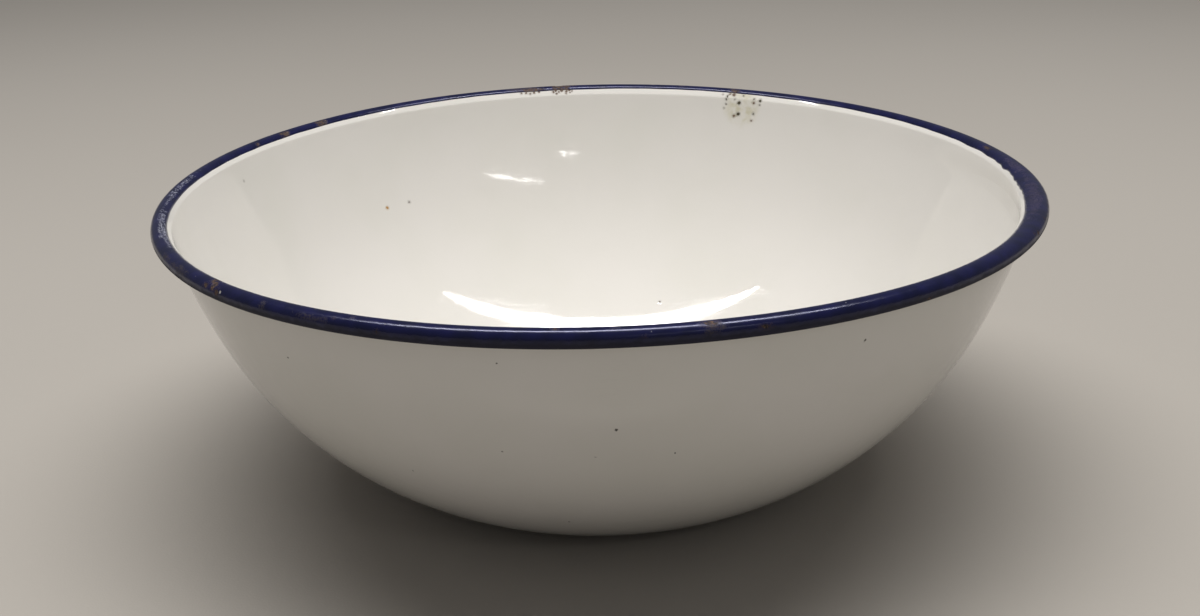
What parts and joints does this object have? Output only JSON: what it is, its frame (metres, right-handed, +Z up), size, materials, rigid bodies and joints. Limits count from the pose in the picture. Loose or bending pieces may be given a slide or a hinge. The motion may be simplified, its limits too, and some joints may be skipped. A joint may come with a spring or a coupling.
{
  "type": "enamel bowl",
  "caption": "Round pressed-steel bowl, enamelled white inside and out, with a flat base and an outward-rolled blue rim.",
  "frame": {"origin": "centre of the ring that the bowl stands on, at the height of the surface under it", "axes": "+Z up along the bowl's own axis, out of its mouth; X and Y are any two directions, because the bowl is round"},
  "size_m": [0.4, 0.4, 0.1376],
  "materials": {
    "steel": "satin",
    "ground_coat": "gloss",
    "white_enamel": "gloss",
    "blue_enamel": "gloss"
  },
  "bodies": {
    "root": {"steel_bowl": "steel", "inner_ground_coat": "ground_coat", "outer_ground_coat": "ground_coat", "inner_white_enamel": "white_enamel", "outer_white_enamel": "white_enamel", "blue_rim_enamel": "blue_enamel"}
  },
  "joints": []
}
